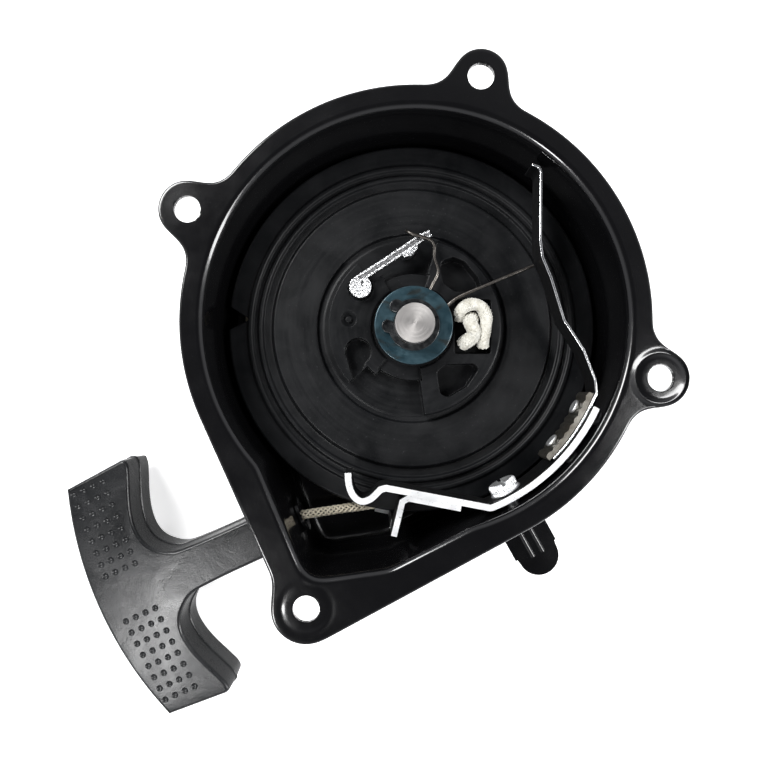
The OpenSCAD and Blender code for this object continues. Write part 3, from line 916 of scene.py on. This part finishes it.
def make_pawl():
    reach = (PAWL_TIP[0] - PIVOT[0], PAWL_TIP[1] - PIVOT[1])
    length = math.hypot(*reach)
    spot = Matrix.Translation((*PIVOT, 0)) @ Matrix.Rotation(math.atan2(reach[1], reach[0]), 4, "Z")
    bar = [(length - 1.1, -0.1), (length - 4, 0.5), (12, 1.35), (0.5, 2.35)]
    bar = np.array(list(rounded(bar, 2, 4, closed=False)) + arc((0, 0), 2.4, 96, 215, 8))
    thick = np.interp(np.arange(len(bar)), [0, 2, len(bar) - 15, len(bar) - 1], [2.1, 2.4, 2.3, 1.5])
    rail = 0.6
    across = normals_of(bar, closed=False) * (thick / 2 - rail / 2)[:, None]
    rails = [prism("pawl", strip_outline(bar + way * across, rail), HUB_Z + 0.4, HUB_Z + 3)
             for way in (1, -1)]
    disc = prism("pawl", circle((0, 0), 3.55), POCKET_Z, -13.2)
    curl = [(0.2, 0.1), (1.3, 0.1), (2.6, 1.6), (2.6, 4.2), (1.2, 4.2), (1.3, 1.4)]
    cut(disc, [prism("slit", rounded(curl, 0.4, 3), -15, -12)])
    foot = [(16.6, 1), (17.4, -0.9), (19.6, -1.9), (22.4, -1.2), (24.2, 0.6), (24, 1.4), (17, 1.8)]
    foot = prism("pawl", rounded(foot, 0.7, 3), -20.2, -15.4)
    widths = zip(rails + [disc, foot], (0.22, 0.22, 0.25, 0.4))
    pieces = [smooth(bevel(piece, width, 3, 40)) for piece, width in widths]
    pawl = smooth(place(join("pawl_strip", pieces), spot), 45)
    dress(pawl, SHEARED, "pawl", "zinc_plate", "pawl")
    # The core fills the groove's floor; its very dark finish is partly the torn surface and partly
    # painted shade in the groove.
    core = prism("pawl_core", strip_outline(bar, thick - 0.5), HUB_Z + 0.5, HUB_Z + 2.7)
    dress(place(core, spot), TORN_AND_SHADED, "pawl", "zinc_plate", "pawl")


def make_wire():
    coil_r = 9.4
    hook = [(-2.2, 30.9, -14.6), (-1.9, 30.2, -12.9), (-0.7, 29.3, -12.1), (2.2, 28.4, -12.1),
            (5.4, 27.2, -12.1)]
    inner = [(6.6, 25.6, -12.4), (6.7, 22, -12.8), (7.9, 17.3, -12.9), (6.2, 13.4, -12.9),
             (4.6, 10.4, -12.9)]
    coil = [at(coil_r, 90 + 12.3 * i, -12.9 - 2 * i / 50) for i in range(51)]
    outer = [(10.6, 5.6, -14.9), (13.2, 8.5, -14.6), (24.3, 13.4, -13), (38.4, 19.2, -12.6)]
    line = np.concatenate([spline(hook + inner, 0.3), spline([inner[-1]] + coil[1:], 0.5)[1:],
                           spline([coil[-1]] + outer, 0.4)[1:]])
    wire = smooth(tube("drag_wire", line, 0.55, 12), 60, weighted=False)
    dress(wire, WIRE, "drag_spring", "spring_steel", "drag_spring")


# ---- Strap bracket, leaf spring and screw ----

STRAP_Z = (-17, -4)
STRAP_BEND = (-9, -50.7)
STRAP_R = 61.5
LEAF = [(56, -21.9), (55.6, -17.6), (52, -8.3), (46, 0.9), (42, 13.9), (39.3, 20.4), (38.7, 25.5),
        (38.9, 46.8), (38.2, 48.2), (36, 48.9)]


def make_strap():
    hook = [(-20.6, -46.1), (-20.3, -49.6), (-19, -53), (-16.6, -54.8), (-13.9, -54.2),
            (-10.6, -51.2)]
    corners = [hook[-1], STRAP_BEND, at(STRAP_R, -67.7), at(STRAP_R, -62)]
    straight = rounded(corners, 2.2, 5, closed=False)[1:-1]
    path = list(spline(hook, 0.7)) + list(straight) + arc((0, 0), STRAP_R, -64.5, -25.1, 1.2)
    strap = prism("guide_strap", strip_outline(path, 2), *STRAP_Z)
    drills = [place(prism("drill", circle((0, 0), r, 15), 57, 66), radial_frame(a, SCREW_Z))
              for a, r in ((SCREW_ANGLE, 2.1), (-40, 1.3), (-27, 1.3))]
    cut(strap, [join("drills", drills)])
    smooth(bevel(strap, 0.62, 4, 40), 50)
    dress(strap, ZINC, "root", "zinc_plate", "guide_bracket")
    # The strap's upright sides, and below them its foot's, take the dark zinc as painted shade.
    darken_upright_faces(strap, ZINC_SIDE_SHADE)
    foot = cad_copy("strap_foot", "bracket_foot", 0.5, ZINC, "zinc_plate", 30, 3)
    darken_upright_faces(foot, ZINC_SIDE_SHADE)


def make_leaf():
    root = arc((0, 0), 59.9, -44.5, -22.6, 1)
    path = root + [list(p) for p in rounded([root[-1]] + LEAF, 1.4, 4, closed=False)[1:]]
    leaf = prism("leaf_strip", strip_outline(path, 0.8), -14.5, -5)
    smooth(bevel(leaf, 0.25, 3, 40), 50)
    leaf.data.materials.append(BRIGHT)
    # The leaf's upright sides take the dark zinc as painted shade.
    darken_upright_faces(leaf, ZINC_SIDE_SHADE)
    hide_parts("leaf_root", "leaf_spring")
    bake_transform(leaf)


def make_clamp():
    cad_copy("ribbed_clamp", "leaf_clamp", 0.12, DULL_ZINC, "zinc_plate", 12, 1)
    cad_copy("clamp_rivet_pair", "clamp_rivets", 0.3, ZINC, "zinc_plate", 40, 3)


def knurled(radius, depth, ridges, insets):
    """Rings of a knurled disc: each inset is (how far in, height along the axis)."""
    turn = np.linspace(0, 2 * math.pi, ridges * 8, endpoint=False)
    return [[[(radius - inset + depth * math.cos(ridges * t)) * math.cos(t),
              (radius - inset + depth * math.cos(ridges * t)) * math.sin(t), z] for t in turn]
            for inset, z in insets]


def make_screw():
    head_z, seat_z, wall_z, end_z = 56.6, 59.6, 60.2, 71.3
    insets = [(0.6, head_z), (0.18, head_z + 0.3), (0, head_z + 0.6), (0, seat_z - 0.4),
              (0.3, seat_z)]
    head = rings_mesh("screw", knurled(4.42, 0.2, 34, insets))
    slot = prism("slot", [(-6, -0.6), (6, -0.6), (6, 0.6), (-6, 0.6)], head_z - 2, head_z + 0.9)
    cut(head, [slot])
    washer = bevel(prism("screw", circle((0, 0), 5), seat_z, wall_z), 0.15, 2)
    shank = lathe("screw", [(2, wall_z), (2, end_z - 0.4), (1.6, end_z)], 32, closed=False)
    screw = join("knurled_screw", [head, washer, shank])
    smooth(place(screw, radial_frame(SCREW_ANGLE, SCREW_Z)), 35)
    dress(screw, ZINC, "root", "zinc_plate", "bracket_screw")
    cad_copy("screw_nut", "bracket_nut", 0.3, ZINC, "zinc_plate", 40)


# ---- Rope ----

def braid(name, path, radius, pitch=11, strands=8, thick=0.24, core=True):
    """A rope of strands that cross over and under each other, with or without a core."""
    p = np.array(path, float)
    step = np.linalg.norm(np.diff(p, axis=0), axis=1)
    along = np.concatenate([[0], np.cumsum(step)])
    count = max(8, int(along[-1] / 0.4))
    where = np.linspace(0, along[-1], count)
    line = np.stack([np.interp(where, along, p[:, k]) for k in range(3)], 1)
    frames = np.array(tube_rings(line, 1, 4))
    side, other = frames[:, 0] - line, frames[:, 1] - line
    strand_r, swell = thick * radius, 0.11 * radius
    pieces = [tube(name, line, 0.62 * radius, 10)] if core else []
    for way in (1, -1):
        for k in range(strands):
            turn = 2 * math.pi * (k / strands + way * where / pitch)
            lift = way * swell * np.cos(2 * math.pi * strands * where / pitch)
            reach = radius - strand_r - swell + lift
            wave = line + reach[:, None] * (np.cos(turn)[:, None] * side
                                            + np.sin(turn)[:, None] * other)
            pieces.append(tube(name, wave, strand_r, 7))
    return join(name, pieces)


def make_rope():
    run = [ROPE_TANGENT, ROPE_EXIT + [3, 0.5, 0], ROPE_EXIT, ROPE_EXIT + 2.6 * PULL_DIR]
    line = spline(run, 1)
    run = smooth(braid("rope_inside", line, ROPE_R, 9, 5, 0.18, core=False), 60, weighted=False)
    dress(run, ROPE, "root", "rope", "rope_run")
    # A near black core under the open braid paints the shade in the gaps between strands.
    core = smooth(tube("rope_core_painted_shade", line, 0.6 * ROPE_R, 12), 60)
    dress(core, ROPE_CORE_SHADE, "root", "rope", "rope_run")
    loops = 2
    turns = [at(52 + 2.45 * t, -80.9 - 360 * (loops - t), -29.8 + 0.7 * math.cos(9 * t))
             for t in np.linspace(0, loops, 160)]
    winding = smooth(tube("rope_turns", turns, 1.3, 12), 60, weighted=False)
    dress(winding, ROPE, "reel", "rope", "rope_winding")
    lead = [HANDLE_ORIGIN + u * PULL_DIR for u in (3, 20, 40, 61.2)]
    lead = smooth(tube("rope_in_handle", lead, ROPE_R, 16), 60)
    dress(lead, ROPE, "handle", "rope", "rope_lead")


def make_knot():
    top, low = -14.2, -17
    over = [(15.6, 2.6, low), (15.4, 5, -15.4), (18.2, 7, top), (21.6, 6.4, top),
            (23.6, 3.2, top - 0.4), (23.4, -0.6, -15.2), (22.8, -3.4, -15), (22.9, -6.4, low + 0.5)]
    under = [(19.6, 3, low), (18.4, 1.2, -14.4), (19.4, -1.2, -13.6), (19.6, -3, -14.6),
             (17.4, -4.8, -15.8), (16, -5.6, low)]
    pieces = [braid("knot", spline(path, 0.6), r, 7) for path, r in ((over, 2.2), (under, 2.5))]
    knot = smooth(join("knotted_end", pieces), 60, weighted=False)
    dress(knot, KNOT, "reel", "rope_knot", "rope_knot")
    turn = np.linspace(0, 2 * math.pi, 90)
    trefoil = np.stack([-np.sin(3 * turn) * 1.2, 0.95 * (np.sin(turn) + 2 * np.sin(2 * turn)),
                        0.95 * (np.cos(turn) - 2 * np.cos(2 * turn))], 1) + [64.6, 0, 0]
    stopper = place(braid("stopper_knot", trefoil, 1.5, 7), HANDLE_FRAME)
    smooth(stopper, 60, weighted=False)
    dress(stopper, ROPE, "handle", "rope", "handle_knot")


def make_stretch():
    """Rope drawn out of the housing: a short sleeve at rest. Its UV map holds the braid of about 900
    mm of rope, packed into the sleeve.
    """
    travel, behind, ahead = 900, 0.4, 3.1
    start, end = HANDLE_ORIGIN - behind * PULL_DIR, HANDLE_ORIGIN + ahead * PULL_DIR
    rings, sides = 240, 14
    t = np.linspace(0, 1, rings)
    path = start + (end - start) * t[:, None]
    sleeve = rings_mesh("rope_stretch", tube_rings(path, ROPE_R - 0.03, sides), caps=False)
    paid_out = (3.5 * t + travel * t * t * (3 - 2 * t)) * MM
    layer = sleeve.data.uv_layers.new(name="braid")
    for face in sleeve.data.polygons:
        columns = [v % sides for v in face.vertices]
        for loop, vertex, column in zip(face.loop_indices, face.vertices, columns):
            if column == 0 and max(columns) == sides - 1:
                column = sides
            layer.data[loop].uv = (column / sides, paid_out[vertex // sides])
    smooth(sleeve, 60, weighted=False)
    sleeve.data.materials.append(BRAID)
    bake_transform(sleeve)


# ---- Handle ----

GRIP = [(4.4, 7.4), (34, 7.6), (41, 8.3), (45, 10.8), (47.6, 14), (48.6, 18), (48.2, 23),
        (46.6, 28.6), (44, 35), (42.3, 39.8), (42.6, 42.2), (44.4, 43)]
TIP = (65, 41.6)
HANDLE_END = 72
HANDLE_ARC = 128.3
HALF_T = 10


def handle_outline():
    side = [[3.4, 6.4]] + [list(p) for p in spline(GRIP, 0.8)]
    reach = math.degrees(math.asin(TIP[1] / HANDLE_ARC))
    end = arc((HANDLE_END - HANDLE_ARC, 0), HANDLE_ARC, reach - 0.4, 0.4 - reach, 1)
    corner = rounded([side[-1], TIP, end[0]], 0.9, 5, closed=False)[1:-1]
    half = side + [list(p) for p in corner]
    return half + end + [[u, -v] for u, v in half[::-1]]


def dimple_spots():
    """Centres of the two fields of dimples, as (u, v)."""
    for first, lean in (((63.1, -38.4), 1.6), ((64.7, 6.9), -1.1)):
        for row in range(8):
            for column in range(4):
                yield first[0] + lean * row / 7 - 3.55 * column, first[1] + 4.14 * row


def dimpled_face(outline, z, way):
    """A flat face filled round its dimples, each one a shallow bowl. Way is +1 for the upper face."""
    bm = bmesh.new()

    def closed_loop(points, height):
        verts = [bm.verts.new((x * MM, y * MM, height * MM)) for x, y in points]
        for i, v in enumerate(verts):
            bm.edges.new((v, verts[i - 1]))
        return verts

    closed_loop(outline, z)
    rims = [closed_loop(circle(spot, 1.1, 20), z) for spot in dimple_spots()]
    bmesh.ops.triangle_fill(bm, use_beauty=True, use_dissolve=False, edges=bm.edges[:],
                            normal=(0, 0, 1))
    for spot, rim in zip(dimple_spots(), rims):
        above = rim
        for radius, depth in ((0.98, 0.1), (0.78, 0.34), (0.42, 0.52)):
            below = [bm.verts.new((x * MM, y * MM, (z - way * depth) * MM))
                     for x, y in circle(spot, radius, 20)]
            for i in range(len(rim)):
                bm.faces.new((above[i - 1], above[i], below[i], below[i - 1]))
            above = below
        bm.faces.new(above)
    mesh = bpy.data.meshes.new("face")
    bm.to_mesh(mesh)
    bm.free()
    return bpy.data.objects.new("face", mesh)


def weld(obj):
    bm = bmesh.new()
    bm.from_mesh(obj.data)
    bmesh.ops.remove_doubles(bm, verts=bm.verts, dist=2e-6)
    bmesh.ops.recalc_face_normals(bm, faces=bm.faces)
    bm.to_mesh(obj.data)
    bm.free()
    return obj


def make_handle():
    outline = np.array(handle_outline())
    inward = normals_of(outline)
    edge_r = 1.1
    levels = [(0.6 + edge_r * (1 - math.sin(a)), HALF_T - edge_r * (1 - math.cos(a)))
              for a in np.radians((0, 22, 45, 68, 90))]
    levels += [(0.34, 0.55), (0.3, 0.4), (0, 0.22)]
    levels += [(inset, -z) for inset, z in levels[::-1]]
    rings = [[[x, y, z] for x, y in outline + inward * inset] for inset, z in levels]
    sides = rings_mesh("grip", rings, caps=False)
    faces = [dimpled_face(outline + inward * levels[0][0], way * HALF_T, way) for way in (1, -1)]
    handle = weld(join("grip", [sides] + faces))
    bore = place(prism("bore", circle((0, 0), 1.8, 15), -2, 61), ONTO_X)
    pocket = place(prism("bore", circle((0, 0), 5.2), 60, 82), ONTO_X)
    cut(handle, [bore, pocket], "MANIFOLD")
    smooth(handle, 32)
    place(handle, HANDLE_FRAME)
    dress(handle, PVC, "handle", "handle_pvc", "handle")
    darken_upright_faces(handle, PVC_SIDE, 0.5)
    cad_copy("stopper_washer", "handle_washer", 0.2, ZINC, "zinc_plate", 40, body="handle")


def dress_hidden_nodes():
    """Gives the working parts inside, which keep their CAD shape, a better finish."""
    finishes = {"shaft_washer": STEEL, "shaft_rivet": STEEL, "friction_collar": STEEL,
                "spring_shield": BLUED, "spring_anchor": STEEL, "recoil_spring": BLUED,
                "spring_hook": STEEL, "reel_bush": BRONZE, "rope_eyelet": PAINT}
    for node, material in finishes.items():
        NODES[node].data.materials.clear()
        NODES[node].data.materials.append(material)


# ---- Lights and floor ----

def make_floor():
    half, z = 2500, BACK_Z - 0.05
    corners = [(-half, -half, z), (half, -half, z), (half, half, z), (-half, half, z)]
    floor = make_mesh("floor", corners, [(0, 1, 2, 3)])
    floor.data.materials.append(studio_floor())


def area_light(name, place_at, target, size, power):
    """A rectangular light that faces its target. Places and sizes in metres, power in watts."""
    data = bpy.data.lights.new(name, "AREA")
    data.shape = "RECTANGLE"
    data.size, data.size_y = size
    data.energy = power
    light = bpy.data.objects.new(name, data)
    light.location = place_at
    direction = Vector(target) - Vector(place_at)
    light.rotation_euler = direction.to_track_quat("-Z", "Y").to_euler()
    scene.collection.objects.link(light)


def make_lights():
    world = bpy.data.worlds.new("studio")
    scene.world = world
    world.use_nodes = True
    tree = world.node_tree
    background = tree.nodes["Background"]
    coords = tree.nodes.new("ShaderNodeTexCoord")
    split = tree.nodes.new("ShaderNodeSeparateXYZ")
    ramp = tree.nodes.new("ShaderNodeValToRGB")
    tree.links.new(coords.outputs["Generated"], split.inputs[0])
    tree.links.new(split.outputs["Z"], ramp.inputs["Fac"])
    tree.links.new(ramp.outputs["Color"], background.inputs["Color"])
    stops = ramp.color_ramp.elements
    stops[0].position, stops[0].color = 0.62, (0.95, 0.96, 1, 1)
    stops[1].position, stops[1].color = 0.93, (0.03, 0.03, 0.033, 1)
    background.inputs["Strength"].default_value = 0.8
    bowl, grip = (0, 0, -0.02), (-0.08, -0.09, -0.02)
    area_light("key", (-0.35, 0.28, 0.42), bowl, (0.30, 0.20), 5)
    area_light("side", (0.42, -0.10, 0.30), bowl, (0.10, 0.45), 3)
    area_light("low", (-0.20, -0.24, 0.34), grip, (0.06, 0.14), 0.9)
    scene.view_settings.view_transform = "Standard"


make_camera()
make_floor()
make_lights()
make_housing()
make_lug()
make_reel()
make_shaft()
make_washer()
make_clip()
make_pawl()
make_wire()
make_strap()
make_leaf()
make_clamp()
make_screw()
make_rope()
make_knot()
make_stretch()
make_handle()
dress_hidden_nodes()
